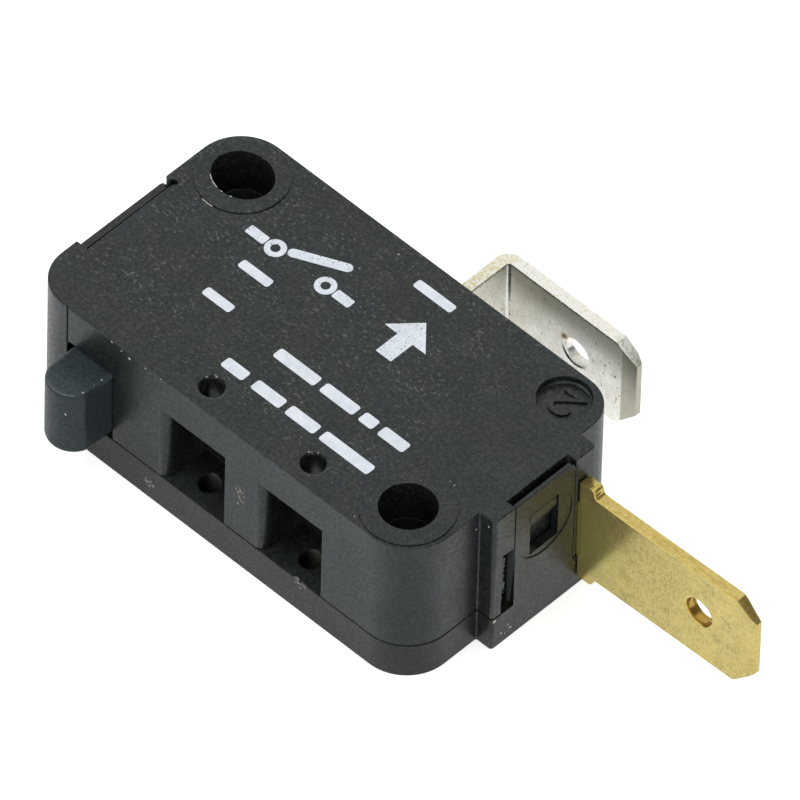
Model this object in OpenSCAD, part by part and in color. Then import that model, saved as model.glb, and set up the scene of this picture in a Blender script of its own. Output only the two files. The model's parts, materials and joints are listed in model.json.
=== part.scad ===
// Snap-action micro switch: a two-piece moulded housing with a push plunger, two push-on tabs,
// two pockets for an auxiliary lever, and an over-centre spring mechanism inside.
// Frame: +X along the housing towards the end terminal, +Y from the plunger side to the back,
// +Z up through the housing's thickness. The origin is midway between the mounting holes, on the base.

/* [Housing] */
// Length of the housing without its end block, along X
body_l = 28; // [27.4:0.1:29]
// Width of the housing, along Y
body_w = 15.9; // [15.6:0.1:17]
// Thickness of the housing, along Z
body_h = 10.3; // [10:0.1:12]
// Radius of the two upright corners beside the mounting holes
corner_r = 2.8; // [2:0.1:3]
// Radius of the upright corner beside the mould mark
plain_corner_r = 2.2; // [1.8:0.1:2.6]
// Radius of the upright corner beside the plunger
lip_corner_r = 2.5; // [2:0.1:2.8]
// How far the end wall between that corner and the latch tongue stands proud
lip_out = 0.13; // [0.1:0.01:0.25]
// Thickness of the casing's side walls
wall = 1.2; // [1:0.05:1.35]
// Thickness of the casing's roof
roof_t = 1.2; // [0.9:0.05:1.5]
// Height of the cover, up to the parting line
cover_h = 2.35; // [2:0.05:2.7]
// Thickness of the cover's floor
floor_t = 1.2; // [0.8:0.05:1.6]
// Height of the fine groove that shows at the parting line
groove_h = 0.1; // [0.05:0.01:0.2]
// Depth of that groove
groove_d = 0.15; // [0.05:0.01:0.3]

/* [Mounting holes] */
// Distance between the mounting holes along X
hole_pitch_x = 22.2; // [21.8:0.1:22.6]
// Distance between the mounting holes along Y
hole_pitch_y = 10.3; // [10:0.1:10.6]
// Diameter of the mounting holes
hole_d = 3.2; // [2.8:0.05:3.4]
// How much longer the casing's hole at the plunger end is, along X
hole_slot = 0.42; // [0.1:0.02:0.5]
// Thickness of the boss wall round each mounting hole
boss_wall = 1.1; // [0.9:0.05:1.3]
// Diameter of the raised ring round each hole's mouth
ring_d = 5.3; // [4.6:0.1:5.5]
// Height of that ring above the roof
ring_h = 0.09; // [0.05:0.01:0.2]

/* [End block] */
// How far the block at the terminal end stands out of the end wall
block_out = 1.1; // [0.9:0.05:1.5]
// Width of the block along Y
block_w = 7.65; // [7.4:0.05:8]
// Middle of the block along Y
block_y = 1.08; // [1:0.02:1.2]
// Radius of the block's upright edges
block_edge_r = 0.22; // [0.1:0.02:0.3]
// Fillet between the block and the end wall
block_fillet_r = 0.1; // [0.1:0.05:0.5]
// Width of the empty terminal slit in the block
slit_w = 0.95; // [0.8:0.05:1]
// Height of that slit above the parting line
slit_h = 4.7; // [4:0.1:5]

/* [Latch tongues] */
// Thickness of the cover's latch tongues
tongue_t = 0.6; // [0.5:0.02:0.65]
// Thickness left at the tip of the tongue in the end block by its lead-in slope
right_tip_t = 0.28; // [0.2:0.02:0.4]
// Thickness left at the tip of the tongue at the plunger end
left_tip_t = 0.46; // [0.3:0.02:0.48]
// Length of that lead-in slope
tongue_lead = 0.9; // [0.5:0.05:1.2]
// Radius of a tongue's top corner on the back side
tongue_corner_r = 0.45; // [0.2:0.05:0.8]
// Gap beside and behind a tongue
tongue_gap = 0.06; // [0.05:0.01:0.12]
// Width of the tongue in the end block
right_tongue_w = 4.48; // [4.2:0.02:4.6]
// Middle of that tongue along Y
right_tongue_y = 1.11; // [1:0.01:1.2]
// How far that tongue stops below the roof
right_tongue_drop = 0.1; // [0.05:0.05:0.5]
// Width of the tongue at the plunger end
left_tongue_w = 6.45; // [5.6:0.05:6.5]
// Middle of that tongue along Y
left_tongue_y = -1; // [-1.05:0.01:-0.85]
// How far that tongue stops below the roof
left_tongue_drop = 0.28; // [0.1:0.02:0.6]
// Radius of the round relief at the back end of that tongue's notch
notch_relief_r = 0.2; // [0.1:0.05:0.5]
// Width of the square window in each tongue
latch_window_w = 2.13; // [1.8:0.05:2.4]
// Height of that window
latch_window_h = 3.2; // [2.6:0.1:3.4]
// Height of the window's sill above the base
latch_window_z = 5.4; // [5:0.1:5.6]
// Gap between the latch nub and its window
nub_gap = 0.1; // [0.05:0.01:0.2]
// Height of the latch nub, from its catch down to the foot of its ramp
nub_h = 1.9; // [1.4:0.1:2.4]
// Radius of the shallow round flat on the end tongue
disc_r = 2.1; // [1.8:0.05:2.15]
// Depth of that flat
disc_d = 0.06; // [0.03:0.01:0.1]

/* [Lever pockets] */
// Middle of the pocket nearer the plunger, along X
pocket_1_x = -1.66; // [-1.8:0.02:-1.5]
// Middle of the other pocket, along X
pocket_2_x = 5.45; // [5.3:0.05:5.6]
// Width of a pocket along X
pocket_w = 4.24; // [4.1:0.02:4.4]
// Height of a pocket above the cover
pocket_h = 5.4; // [4.8:0.1:5.8]
// Depth of a pocket from the front wall
pocket_depth = 3; // [2.6:0.1:3.2]
// Wall between a pocket and the inside
pocket_wall = 0.9; // [0.7:0.05:1]
// Rounding of a pocket's mouth on the plunger side
jamb_r = 0.6; // [0.3:0.05:0.7]
// Diameter of the lever's pin holes
pin_d = 1.3; // [1.2:0.05:1.6]
// Distance of the pin holes from the front face
pin_in = 1.5; // [1.3:0.05:1.7]
// Shift of the first pin hole from the middle of its pocket, towards the plunger
pin_1_shift = 0.37; // [0:0.01:0.5]
// Shift of the other pin hole from the middle of its pocket, towards the plunger
pin_2_shift = 0.04; // [0:0.02:0.5]
// Width of the countersink at a pin hole's mouth
pin_mouth = 0.18; // [0.06:0.02:0.24]
// Depth of the pin sockets in the cover
pin_socket_d = 1.3; // [0.8:0.1:1.5]

/* [Mould mark] */
// Place of the round mould mark along X
mark_x = 11.64; // [11.4:0.02:11.7]
// Place of the round mould mark along Y
mark_y = 6.07; // [5.8:0.01:6.1]
// Radius of the mould mark
mark_r = 1.52; // [1.3:0.02:1.54]
// Depth of the mould mark
mark_d = 0.5; // [0.2:0.05:0.6]

/* [Plunger] */
// Middle of the plunger along X
plunger_x = -9.32; // [-9.4:0.02:-9.2]
// Width of the plunger along X
plunger_w = 2.92; // [2.6:0.02:3]
// Height of the plunger along Z
plunger_h = 4.66; // [4.4:0.02:5]
// How far the plunger stands out of the front face at rest
plunger_out = 2.92; // [2.4:0.02:3.2]
// Radius of the plunger's nose
nose_r = 1.55; // [1.52:0.01:2]
// Travel of the plunger, which the joint's range and the spring pin's place follow
plunger_travel = 2.2; // [1.8:0.1:2.4]
// Gap over the plunger in its slot
plunger_gap = 0.1; // [0.05:0.01:0.15]
// Gap between the plunger and the cover under it
plunger_foot_gap = 0.52; // [0.3:0.02:0.6]
// Gap between the plunger and its slot on the corner side
slot_gap_left = 0.42; // [0.1:0.02:0.6]
// Gap between the plunger and its slot on the pocket side
slot_gap_right = 0.08; // [0.05:0.01:0.15]
// Radius of the slot's upper corners
slot_r = 0.3; // [0.1:0.05:0.5]
// How far the plunger's collar reaches past its slot on each side
collar_over = 0.4; // [0.3:0.05:0.6]
// Thickness of the collar
collar_t = 1; // [0.8:0.05:1.2]
// Width of a lug that holds the snap spring's pin
lug_w = 1.05; // [0.9:0.05:1.2]
// Height of a lug
lug_h = 0.7; // [0.6:0.05:0.8]
// Height of the gap between the two lugs
lug_gap = 1.1; // [1:0.05:1.2]
// Diameter of the pin between the lugs
lug_pin_d = 0.7; // [0.6:0.02:0.74]

/* [Terminals] */
// Thickness of the terminal strips
strip_t = 0.75; // [0.7:0.05:0.8]
// Height of the strips inside the housing
strip_w = 4.4; // [4.2:0.1:4.8]
// Width of the push-on tabs
tab_w = 6.45; // [6:0.05:6.6]
// Diameter of the dimple hole in a tab
tab_hole_d = 1.75; // [1.4:0.05:2]
// Width of the countersink at that hole's mouths
tab_hole_mouth = 0.1; // [0.05:0.01:0.15]
// Length of a tab's corner cuts, along the tab
tab_cut_l = 1.4; // [1:0.05:1.6]
// Depth of the upper corner cut, across the tab
tab_cut_w = 1; // [0.8:0.05:1.5]
// Depth of the lower corner cut, across the tab
tab_low_cut_w = 1.5; // [0.8:0.05:1.6]
// Thickness left at a tab's thinned tip
tab_tip_t = 0.4; // [0.2:0.02:0.5]
// Depth of the slope on the front of a tab's tip
tab_slope_d = 0.15; // [0.05:0.01:0.18]
// Gap between a strip and the housing that holds it
strip_gap = 0.05; // [0.02:0.01:0.1]
// Front face of the end terminal along Y
end_term_y = 3.6; // [3.5:0.05:3.7]
// Length of the end terminal's tab beyond its shoulder
end_tab_l = 11.4; // [11:0.05:13]
// Splay of the end terminal from the end wall outwards, in degrees
end_splay = 1.4; // [0:0.1:2]
// Distance from the end tab's hole to its tip
end_hole_in = 3.95; // [3.6:0.05:4.4]
// How far the end tab's hole sits above the tab's middle
end_hole_rise = 0.2; // [0:0.05:0.4]
// Length of the slope on the front of the end tab's tip
end_front_slope = 0.35; // [0.2:0.05:1]
// Length of the slope on the back of the end tab's tip
end_back_slope = 1.2; // [0.2:0.05:1.4]
// Width of the end terminal's shoulder
shoulder_w = 7.6; // [6.8:0.05:7.8]
// Length of that shoulder
shoulder_l = 1.1; // [0.8:0.05:1.4]
// Rounding of the shoulder's outer corners
shoulder_corner_r = 0.25; // [0.1:0.05:0.3]
// Fillet where the shoulder meets the tab
shoulder_fillet_r = 0.4; // [0.2:0.05:0.5]
// Place of the back terminal's leg along X, its face on the plunger side
back_term_x = 0.85; // [0.6:0.05:1.4]
// How far the back terminal's outer face stands behind the housing
back_term_out = 5.15; // [4.6:0.05:5.6]
// Reach of the back terminal's tab along X, from its leg
back_tab_l = 10.05; // [9.5:0.05:10.5]
// Distance from the back tab's hole to its tip
back_hole_in = 4.3; // [4:0.05:4.6]
// Length of the slope on the inner side of the back tab's tip
back_inner_slope = 0.95; // [0.4:0.05:1.2]
// Length of the slope on the outer side of the back tab's tip
back_outer_slope = 0.5; // [0.2:0.05:1]
// Inner radius of the strips' bends
bend_r = 0.2; // [0.15:0.05:0.5]

/* [Mechanism] */
// Place of the contact arm's knife edge along Y
pivot_y = 0.9; // [0.8:0.05:1]
// Thickness of the contact arm
arm_t = 0.3; // [0.2:0.02:0.4]
// Height of the contact arm
arm_w = 4; // [3.6:0.1:4.4]
// Width of the opening in the arm and bracket that the snap spring passes through
arm_window = 2.1; // [1.9:0.05:2.3]
// Place of the contacts along X
contact_x = 9; // [8.8:0.1:9.4]
// Diameter of the contact heads
contact_d = 2.4; // [2:0.1:2.6]
// Height of a contact's head
contact_h = 0.6; // [0.4:0.05:0.7]
// Diameter of the contact rivets' shanks
rivet_d = 1.1; // [0.9:0.05:1.3]
// Height of the moving contact's riveted tail
rivet_tail_h = 0.3; // [0.2:0.05:0.4]
// Depth of the knife-edge notch in the bracket
notch_d = 0.25; // [0.2:0.01:0.3]
// Outside diameter of the plunger's return spring
return_d = 2.4; // [2.2:0.05:2.6]
// Wire of the return spring
return_wire = 0.34; // [0.25:0.01:0.4]
// Turns of the return spring
return_turns = 7; // [5:1:9]
// Outside diameter of the snap spring
snap_d = 1.6; // [1.4:0.05:1.7]
// Wire of the snap spring
snap_wire = 0.22; // [0.16:0.01:0.24]
// Turns of the snap spring
snap_turns = 16; // [12:1:18]
// Radius of the snap spring's end hooks, to the middle of the wire
snap_hook_r = 0.56; // [0.52:0.01:0.6]

/* [Hidden] */
$fn = 64;

// Overshoot of a cut past the face that it opens
cut = 0.5;
// Gap of the close seats inside the mechanism
seat_gap = 0.05;
// Clearance of the coil springs from the pieces beside and inside them
spring_clearance = 0.2;
// Length of the spigots inside the return spring's ends
spigot_l = 1.2;
// Thickness of the return spring's seat in front of the boss
seat_t = 0.4;
// Clearance between the plunger's lugs and the bracket
bracket_clearance = 0.6;
// Clearance between the inner run's bends and the back wall
run_clearance = 0.2;
// Margin of the end strip past its contact
strip_margin = 0.3;
// Width of the casing's inner ribs
rib_w = 1.2;
// Length of the arm's knife-edge point
arm_point_l = 0.4;
// Distance from the contacts to the bar that holds the snap spring
arm_bar_in = 8.55;
// Width of that bar
arm_bar_w = 0.6;
// Radius of the bends between the snap spring's coil and hooks
snap_bend_r = 0.25;

// Faces of the housing
front_y = -body_w / 2;
back_y = body_w / 2;
left_x = -body_l / 2;
right_x = body_l / 2;
block_x = right_x + block_out;
lip_end_y = left_tongue_y - left_tongue_w / 2 - tongue_gap;
ceiling_z = body_h - roof_t;
hole_places = [[-hole_pitch_x / 2, hole_pitch_y / 2], [hole_pitch_x / 2, -hole_pitch_y / 2]];
boss_r = hole_d / 2 + boss_wall;

// Levels of the strips and of the mechanism
strip_z = cover_h + strip_gap;
mid_z = strip_z + strip_w / 2;
latch_window_top = latch_window_z + latch_window_h;

// Lever pockets
pocket_places = [pocket_1_x, pocket_2_x];
pin_places = [pocket_1_x - pin_1_shift, pocket_2_x - pin_2_shift];
inner_front_y = front_y + pocket_depth + pocket_wall;
pin_y = front_y + pin_in;

// Plunger and its chamber
plunger_z = cover_h + plunger_foot_gap;
slot_x0 = plunger_x - plunger_w / 2 - slot_gap_left;
slot_x1 = plunger_x + plunger_w / 2 + slot_gap_right;
slot_top = plunger_z + plunger_h + plunger_gap;
collar_y = front_y + wall + seat_gap;
collar_back_y = collar_y + collar_t;
collar_x0 = slot_x0 - collar_over;
collar_x1 = slot_x1 + collar_over;
lug_x0 = plunger_x + return_d / 2 + spring_clearance;
hook_x = lug_x0 + lug_w / 2;
hook_y = pivot_y - plunger_travel / 2;
lug_end_y = hook_y + lug_w / 2;
spigot_d = return_d - 2 * return_wire - spring_clearance;
spring_seat_y = hole_pitch_y / 2 - boss_r - seat_t;

// Bracket and arm
bracket_x = lug_x0 + lug_w + bracket_clearance;
bracket_face_x = bracket_x + strip_t;
pivot_x = bracket_face_x - notch_d + seat_gap;
arm_end_x = contact_x + contact_d / 2;
arm_bar_x = contact_x - arm_bar_in;
spring_bar_x = arm_bar_x + arm_bar_w / 2;
stop_y = pivot_y - arm_t / 2 - rivet_tail_h - seat_gap;
run_y = back_y - wall - strip_t - 2 * bend_r - run_clearance;
inner_end_x = contact_x - contact_d / 2 - strip_margin;

// Plan shapes

module rounded_rect(l, w, r) {
    square([l - 2 * r, w], center = true);
    square([l, w - 2 * r], center = true);
    for (sx = [-1, 1], sy = [-1, 1])
        translate([sx * (l / 2 - r), sy * (w / 2 - r)])
            circle(r);
}

// Fills the inner corner at the origin between the +X and +Y axes
module corner_fillet(r) {
    difference() {
        square(r);
        translate([r, r])
            circle(r);
    }
}

// Outline of the housing without its end block, drawn in from its edge by inset
module box_outline(inset) {
    x = right_x - inset;
    y = back_y - inset;
    lip_x = lip_out + x;
    lip_y = lip_end_y - inset;
    l = lip_corner_r - inset;
    p = plain_corner_r - inset;
    q = corner_r - inset;
    polygon([
        [l - lip_x, -y], [x - q, -y], [x, q - y], [x, y - p], [x - p, y], [q - x, y],
        [-x, y - q], [-x, lip_y], [-lip_x, lip_y], [-lip_x, l - y],
    ]);
    translate([l - lip_x, l - y])
        circle(l);
    translate([x - p, y - p])
        circle(p);
    for (side = [-1, 1])
        translate(side * [x - q, q - y])
            circle(q);
}

// Outline of the housing with its end block, drawn in from its edge by inset
module body_outline(inset = 0) {
    block_reach = block_x - inset;
    box_outline(inset);
    translate([block_reach / 2, block_y])
        rounded_rect(block_reach, block_w - 2 * inset, block_edge_r);
    for (side = [-1, 1])
        translate([right_x - inset, block_y + side * (block_w / 2 - inset)])
            scale([1, side])
                corner_fillet(block_fillet_r);
}

module hole_circles(d) {
    for (p = hole_places)
        translate(p)
            circle(d = d);
}

// Mounting holes of the casing, the one at the plunger end drawn out along X
module casing_holes() {
    translate(hole_places[0])
        scale([1 + hole_slot / hole_d, 1])
            circle(d = hole_d);
    translate(hole_places[1])
        circle(d = hole_d);
}

// Plan of the space inside the walls, round the bosses
module chamber_plan() {
    inner_x = left_x + wall;
    plunger_room_x1 = pocket_1_x - pocket_w / 2 - pocket_wall;
    difference() {
        union() {
            translate([inner_x, inner_front_y])
                square([body_l - 2 * wall, back_y - wall - inner_front_y]);
            translate([inner_x, front_y + wall])
                square([plunger_room_x1 - inner_x, body_w / 2]);
        }
        hole_circles(2 * boss_r);
    }
}

// Plan of the ribs that hold the strips, stop the arm and seat the return spring
module rib_plan() {
    back_in = back_y - wall;
    rib_root = back_in + wall / 2;
    // behind the end terminal's contact
    translate([contact_x - rib_w / 2, end_term_y + strip_t + strip_gap])
        square([rib_w, rib_root - end_term_y - strip_t - strip_gap]);
    // behind the common terminal's inner run
    translate([(bracket_x + back_term_x) / 2 - rib_w / 2, run_y + strip_t + strip_gap])
        square([rib_w, rib_root - run_y - strip_t - strip_gap]);
    // beside the knife-edge bracket
    translate([bracket_x - strip_gap - rib_w, run_y - rib_w])
        square([rib_w, rib_root - run_y + rib_w]);
    // stop for the arm's free end
    translate([contact_x - rib_w / 2, inner_front_y - pocket_wall / 2])
        square([rib_w, stop_y - inner_front_y + pocket_wall / 2]);
    // seat of the return spring
    translate([plunger_x - return_d / 2, spring_seat_y])
        square([return_d, hole_pitch_y / 2 - spring_seat_y]);
}

// Plan of a lever pocket, with its mouth rounded on the plunger side
module pocket_plan(x) {
    translate([x - pocket_w / 2, front_y - cut])
        square([pocket_w, pocket_depth + cut]);
    translate([x - pocket_w / 2, front_y])
        rotate(90)
            corner_fillet(jamb_r);
    translate([x - pocket_w / 2 - jamb_r, front_y - cut])
        square([jamb_r + cut, cut]);
}

// Quarter of a bent strip, round the origin from the +X to the +Y axis
module bend_plan() {
    intersection() {
        difference() {
            circle(bend_r + strip_t);
            circle(bend_r);
        }
        square(bend_r + strip_t);
    }
}

// Latches

// Side view of a tongue, outer face at x = 0 and inside towards +x
module tongue_side(top, tip_t) {
    polygon([
        [0, 0], [tongue_t, 0], [tongue_t, top - tongue_lead], [tip_t, top], [0, top],
    ]);
}

// Front view of a tongue, with one rounded top corner on the given side
module tongue_front(w, top, side) {
    translate([-w / 2, 0])
        square([w, top - tongue_corner_r]);
    translate([-w / 2 + (1 - side) / 2 * tongue_corner_r, 0])
        square([w - tongue_corner_r, top]);
    translate([side * (w / 2 - tongue_corner_r), top - tongue_corner_r])
        circle(tongue_corner_r);
}

// Tongue with its outer face on x = 0, facing -x, and a rounded top corner on the given side
module tongue(w, top, tip_t, side) {
    difference() {
        intersection() {
            translate([0, w / 2, 0])
                rotate([90, 0, 0])
                    linear_extrude(w)
                        tongue_side(top, tip_t);
            rotate([90, 0, 90])
                linear_extrude(tongue_t)
                    tongue_front(w, top, side);
        }
        translate([-cut, -latch_window_w / 2, latch_window_z])
            cube([tongue_t + 2 * cut, latch_window_w, latch_window_h]);
    }
}

// Room for a tongue in the casing, from its outer face inwards
module tongue_notch(w) {
    translate([-cut, -w / 2 - tongue_gap, cover_h - cut])
        cube([tongue_t + tongue_gap + cut, w + 2 * tongue_gap, body_h]);
}

// Nub of the casing that a tongue's window snaps over, catch upwards and ramp downwards
module latch_nub() {
    w = latch_window_w - 2 * nub_gap;
    catch_z = latch_window_top - nub_gap;
    land_h = nub_h / 3;
    root = tongue_t + tongue_gap;
    inside = root + wall / 3;
    translate([0, w / 2, 0])
        rotate([90, 0, 0])
            linear_extrude(w)
                polygon([
                    [nub_gap, catch_z], [nub_gap, catch_z - land_h], [root, catch_z - nub_h],
                    [inside, catch_z - nub_h], [inside, catch_z],
                ]);
}

module at_right_tongue() {
    translate([block_x, right_tongue_y, 0])
        rotate(180)
            children();
}

module at_left_tongue() {
    translate([left_x, left_tongue_y, 0])
        children();
}

// Housing

module casing_cuts() {
    // inside
    translate([0, 0, cover_h - cut])
        linear_extrude(ceiling_z - cover_h + cut)
            difference() {
                chamber_plan();
                rib_plan();
            }
    // mounting holes
    translate([0, 0, cover_h - cut])
        linear_extrude(body_h)
            casing_holes();
    // lever pockets and their pin holes
    for (x = pocket_places)
        translate([0, 0, cover_h - cut])
            linear_extrude(pocket_h + cut)
                pocket_plan(x);
    for (x = pin_places) {
        translate([x, pin_y, cover_h])
            cylinder(h = body_h, d = pin_d);
        translate([x, pin_y, body_h - pin_mouth])
            cylinder(h = 2 * pin_mouth, d1 = pin_d, d2 = pin_d + 4 * pin_mouth);
    }
    // plunger slot
    slot_w = slot_x1 - slot_x0;
    translate([slot_x0, front_y + wall + cut, 0])
        rotate([90, 0, 0])
            linear_extrude(wall + 2 * cut) {
                translate([0, cover_h - cut])
                    square([slot_w, slot_top - slot_r - cover_h + cut]);
                translate([slot_r, cover_h])
                    square([slot_w - 2 * slot_r, slot_top - cover_h]);
                for (x = [slot_r, slot_w - slot_r])
                    translate([x, slot_top - slot_r])
                        circle(slot_r);
            }
    // seam of the slot's moulding core, up to the roof
    translate([slot_x0 - groove_h / 2, front_y - cut, slot_top - slot_r])
        cube([groove_h, cut + groove_h, body_h]);
    // round mould mark
    translate([mark_x, mark_y, body_h - mark_d])
        cylinder(h = mark_d + cut, r = mark_r);
    // latches
    at_right_tongue()
        tongue_notch(right_tongue_w);
    at_left_tongue() {
        tongue_notch(left_tongue_w);
        translate([tongue_t, left_tongue_w / 2 + tongue_gap, cover_h - cut])
            cylinder(h = body_h, r = notch_relief_r);
    }
    // slots for the terminals, open towards the cover
    strip_slot_h = strip_w + 2 * strip_gap + cut;
    translate([right_x - wall - cut, end_term_y - strip_gap, cover_h - cut])
        cube([wall + block_out + 2 * cut, strip_t + 2 * strip_gap, strip_slot_h]);
    translate([back_term_x - strip_gap, back_y - wall - cut, cover_h - cut])
        cube([strip_t + 2 * strip_gap, wall + 2 * cut, strip_slot_h]);
    // empty slit beside the end tongue
    translate([right_x - wall - cut, right_tongue_y - right_tongue_w / 2 - slit_w, cover_h - cut])
        cube([wall + block_out + 2 * cut, slit_w, slit_h + cut]);
}

module casing() {
    color("#26272a") {
        difference() {
            union() {
                translate([0, 0, cover_h])
                    linear_extrude(groove_h)
                        body_outline(groove_d);
                translate([0, 0, cover_h + groove_h])
                    linear_extrude(body_h - cover_h - groove_h)
                        body_outline();
                translate([0, 0, body_h - cut])
                    linear_extrude(cut + ring_h)
                        hole_circles(ring_d);
            }
            casing_cuts();
        }
        at_right_tongue()
            latch_nub();
        at_left_tongue()
            latch_nub();
        // spigot of the return spring's seat
        translate([plunger_x, spring_seat_y + cut, mid_z])
            rotate([90, 0, 0])
                cylinder(h = spigot_l + cut, d = spigot_d);
    }
}

module cover() {
    color("#232427")
        difference() {
            union() {
                linear_extrude(cover_h)
                    body_outline();
                at_right_tongue()
                    tongue(right_tongue_w, body_h - right_tongue_drop, right_tip_t, -1);
                at_left_tongue()
                    tongue(left_tongue_w, body_h - left_tongue_drop, left_tip_t, 1);
            }
            translate([0, 0, floor_t])
                linear_extrude(cover_h)
                    chamber_plan();
            translate([0, 0, -cut])
                linear_extrude(cover_h + 2 * cut)
                    hole_circles(hole_d);
            for (x = pin_places)
                translate([x, pin_y, cover_h - pin_socket_d])
                    cylinder(h = pin_socket_d + cut, d = pin_d);
            // round flat on the end tongue
            translate([block_x - disc_d, right_tongue_y, latch_window_z + latch_window_h / 2])
                rotate([0, 90, 0])
                    cylinder(h = disc_d + cut, r = disc_r);
        }
}

// Plunger

// Plan of the plunger's shank, from its rounded nose to the collar
module shank_plan() {
    tip_y = front_y - plunger_out;
    intersection() {
        translate([plunger_x - plunger_w / 2, tip_y])
            square([plunger_w, collar_back_y - tip_y]);
        union() {
            translate([plunger_x, tip_y + nose_r])
                circle(nose_r);
            translate([plunger_x - plunger_w, tip_y + nose_r])
                square([2 * plunger_w, collar_back_y - tip_y]);
        }
    }
}

module plunger() {
    lugs_h = lug_gap + 2 * lug_h;
    color("#2a2b2d") {
        translate([0, 0, plunger_z])
            linear_extrude(plunger_h)
                shank_plan();
        translate([collar_x0, collar_y, plunger_z])
            cube([collar_x1 - collar_x0, collar_t, plunger_h]);
        // spigot that centres the return spring
        translate([plunger_x, collar_back_y - collar_t / 2, mid_z])
            rotate([-90, 0, 0])
                cylinder(h = spigot_l + collar_t / 2, d = spigot_d);
        // lugs and pin for the snap spring
        difference() {
            translate([lug_x0, collar_back_y - collar_t / 2, mid_z - lugs_h / 2])
                cube([lug_w, lug_end_y - collar_back_y + collar_t / 2, lugs_h]);
            translate([lug_x0 - cut, hook_y - 2 * lug_w, mid_z - lug_gap / 2])
                cube([lug_w + 2 * cut, 4 * lug_w, lug_gap]);
        }
        translate([hook_x, hook_y, mid_z - lugs_h / 2])
            cylinder(h = lugs_h, d = lug_pin_d);
        // foot that joins the lugs to the collar
        translate([plunger_x, collar_y, mid_z - lugs_h / 2])
            cube([lug_x0 + lug_w - plunger_x, collar_t, lugs_h]);
    }
}

// Springs

function unit(v) = v / norm(v);
function tangent(path, i) = unit(path[min(i + 1, len(path) - 1)] - path[max(i - 1, 0)]);
function carried(normal, t) = unit(normal - (normal * t) * t);
function path_normals(path, start) = [
    for (
        i = 0, n = carried(start, tangent(path, 0));
        i < len(path);
        i = i + 1, n = carried(n, tangent(path, min(i, len(path) - 1)))
    ) n
];

// Round wire of radius r along a path, with a given number of sides
module wire(path, r, sides, start) {
    normals = path_normals(path, start);
    last = len(path) - 1;
    points = [
        for (i = [0:last], s = [0:sides - 1])
            let (t = tangent(path, i), n = normals[i], a = 360 * s / sides)
                path[i] + r * (cos(a) * n + sin(a) * cross(t, n))
    ];
    skin = [
        for (i = [0:last - 1], s = [0:sides - 1])
            let (here = i * sides, there = here + sides, next = (s + 1) % sides)
                each [
                    [here + s, there + s, there + next],
                    [here + s, there + next, here + next],
                ]
    ];
    first_cap = [for (s = [0:sides - 1]) s];
    last_cap = [for (s = [sides - 1:-1:0]) last * sides + s];
    polyhedron(points, concat(skin, [first_cap, last_cap]));
}

// Compression coil along +Z from 0 to length, with a closed turn at each end
function compression_path(length, r, wire_d, turns, steps) =
    let (
        closed = 1.1 * wire_d,
        open_pitch = (length - wire_d - 2 * closed) / (turns - 2)
    )
    [
        for (i = [0:turns * steps])
            let (
                u = i / steps,
                z = min(u, 1) * closed + max(0, min(u - 1, turns - 2)) * open_pitch
                    + max(0, u - turns + 1) * closed
            )
            [r * cos(360 * u), r * sin(360 * u), wire_d / 2 + z]
    ];

module return_spring() {
    spring_y0 = collar_back_y + seat_gap;
    path = compression_path(
        spring_seat_y - seat_gap - spring_y0, (return_d - return_wire) / 2, return_wire, return_turns, 14
    );
    color("#9a9da1")
        translate([plunger_x, spring_y0, mid_z])
            rotate([-90, 0, 0])
                wire(path, return_wire / 2, 8, [1, 0, 0]);
}

// Tension coil along +X between two hooks that lie round [0, 0] and [span, 0]
function tension_path(span, hook_r, coil_r, bend, turns, steps) =
    let (
        lead = 2 * hook_r,
        coil_l = span - 2 * lead,
        start = asin(bend / coil_r),
        last = turns * steps
    )
    concat(
        [for (a = [0:30:270]) hook_r * [cos(a), sin(a), 0]],
        [for (a = [0:30:60]) [lead - bend + bend * sin(a), -coil_r, bend * cos(a) - bend]],
        [
            for (i = [0:last])
                let (u = i / last, a = start + u * (360 * turns - 2 * start))
                [lead + coil_l * u, -coil_r * cos(a), -coil_r * sin(a)]
        ],
        [for (a = [30:30:90]) [span - lead + bend - bend * cos(a), -coil_r, bend - bend * sin(a)]],
        [for (a = [270:30:540]) [span, 0, 0] + hook_r * [cos(a), sin(a), 0]]
    );

module snap_spring() {
    reach = [spring_bar_x - hook_x, pivot_y - hook_y];
    coil_r = (snap_d - snap_wire) / 2;
    path = tension_path(norm(reach), snap_hook_r, coil_r, snap_bend_r, snap_turns, 10);
    color("#a9abad")
        translate([hook_x, hook_y, mid_z])
            rotate(atan2(reach.y, reach.x))
                wire(path, snap_wire / 2, 6, [0, 0, 1]);
}

// Contact arm

module contact_arm() {
    color("#b98a4e")
        difference() {
            translate([0, 0, mid_z - arm_w / 2])
                linear_extrude(arm_w)
                    polygon([
                        [pivot_x, pivot_y],
                        [pivot_x + arm_point_l, pivot_y - arm_t / 2],
                        [arm_end_x, pivot_y - arm_t / 2],
                        [arm_end_x, pivot_y + arm_t / 2],
                        [pivot_x + arm_point_l, pivot_y + arm_t / 2],
                    ]);
            // opening between the two legs
            translate([pivot_x - cut, pivot_y - arm_t, mid_z - arm_window / 2])
                cube([arm_bar_x - pivot_x + cut, 2 * arm_t, arm_window]);
            // hole for the spring's hook, past the bar that it holds
            translate([arm_bar_x + arm_bar_w, pivot_y - arm_t, mid_z - arm_window / 4])
                cube([arm_bar_w + snap_wire, 2 * arm_t, arm_window / 2]);
            translate([contact_x, pivot_y + arm_t, mid_z])
                rotate([90, 0, 0])
                    cylinder(h = 2 * arm_t, d = rivet_d);
        }
}

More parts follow.
